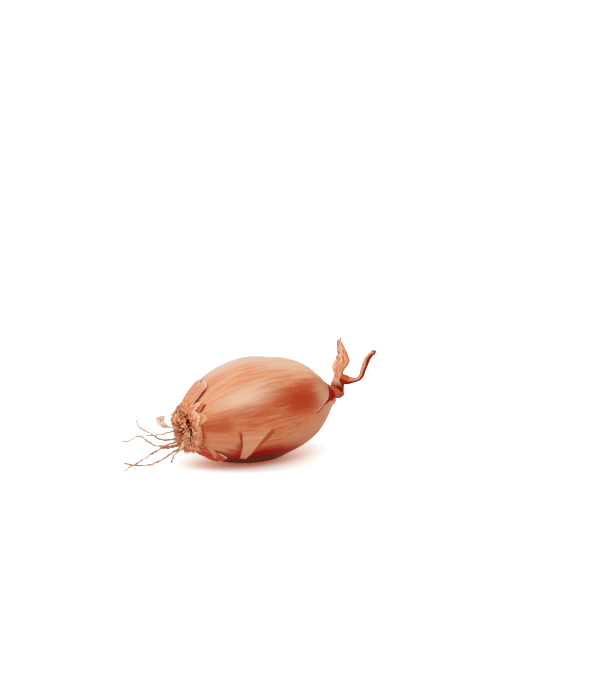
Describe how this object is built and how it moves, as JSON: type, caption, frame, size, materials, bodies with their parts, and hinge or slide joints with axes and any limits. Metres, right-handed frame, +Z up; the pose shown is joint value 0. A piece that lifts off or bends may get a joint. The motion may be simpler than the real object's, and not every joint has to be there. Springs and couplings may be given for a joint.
{
  "type": "shallot",
  "caption": "Whole dry-skinned shallot bulb lying on its side, with torn loose skins, a tuft of roots and a folded neck with dried leaves.",
  "frame": {"origin": "on the small flat spot that the bulb rests on, below its centre of mass", "axes": "+X from the root end to the neck, +Z up, -Y the side with the loose front skins"},
  "size_m": [0.0937, 0.0394, 0.0393],
  "materials": {
    "bulb_skin": "satin",
    "root_plate": "matte",
    "neck_skin": "matte",
    "dried_leaf": "matte",
    "loose_skin": "matte",
    "under_skin": "satin",
    "collar_skin": "matte",
    "root_fibre": "matte",
    "pale_skin": "matte"
  },
  "bodies": {
    "root": {"bulb": "bulb_skin", "root_plate": "root_plate", "neck": "neck_skin", "leaf_broad": "dried_leaf", "leaf_thin": "dried_leaf", "skin_shoulder": "loose_skin", "skin_front": "loose_skin", "skin_pointed": "loose_skin", "skin_strip": "under_skin", "skin_crescent": "under_skin", "collar_stub_1": "collar_skin", "collar_stub_2": "collar_skin", "collar_stub_3": "collar_skin", "collar_stub_4": "collar_skin", "collar_stub_5": "collar_skin", "collar_stub_6": "collar_skin", "collar_stub_7": "collar_skin", "collar_stub_8": "collar_skin", "collar_stub_9": "collar_skin", "collar_stub_10": "collar_skin", "collar_stub_11": "collar_skin", "root_upper": "root_fibre", "root_kinked": "root_fibre", "root_lowest": "root_fibre", "root_bowed": "root_fibre", "root_hooked": "root_fibre", "root_straight": "root_fibre", "root_stout": "root_fibre", "root_blunt": "root_fibre", "root_scrap": "pale_skin", "root_short_1": "root_fibre", "root_short_2": "root_fibre", "root_short_3": "root_fibre", "root_short_4": "root_fibre", "root_short_5": "root_fibre", "root_short_6": "root_fibre", "root_short_7": "root_fibre", "root_short_8": "root_fibre", "root_short_9": "root_fibre", "root_short_10": "root_fibre", "root_short_11": "root_fibre", "root_short_12": "root_fibre", "root_short_13": "root_fibre", "root_short_14": "root_fibre", "root_short_15": "root_fibre", "root_short_16": "root_fibre"}
  },
  "joints": []
}
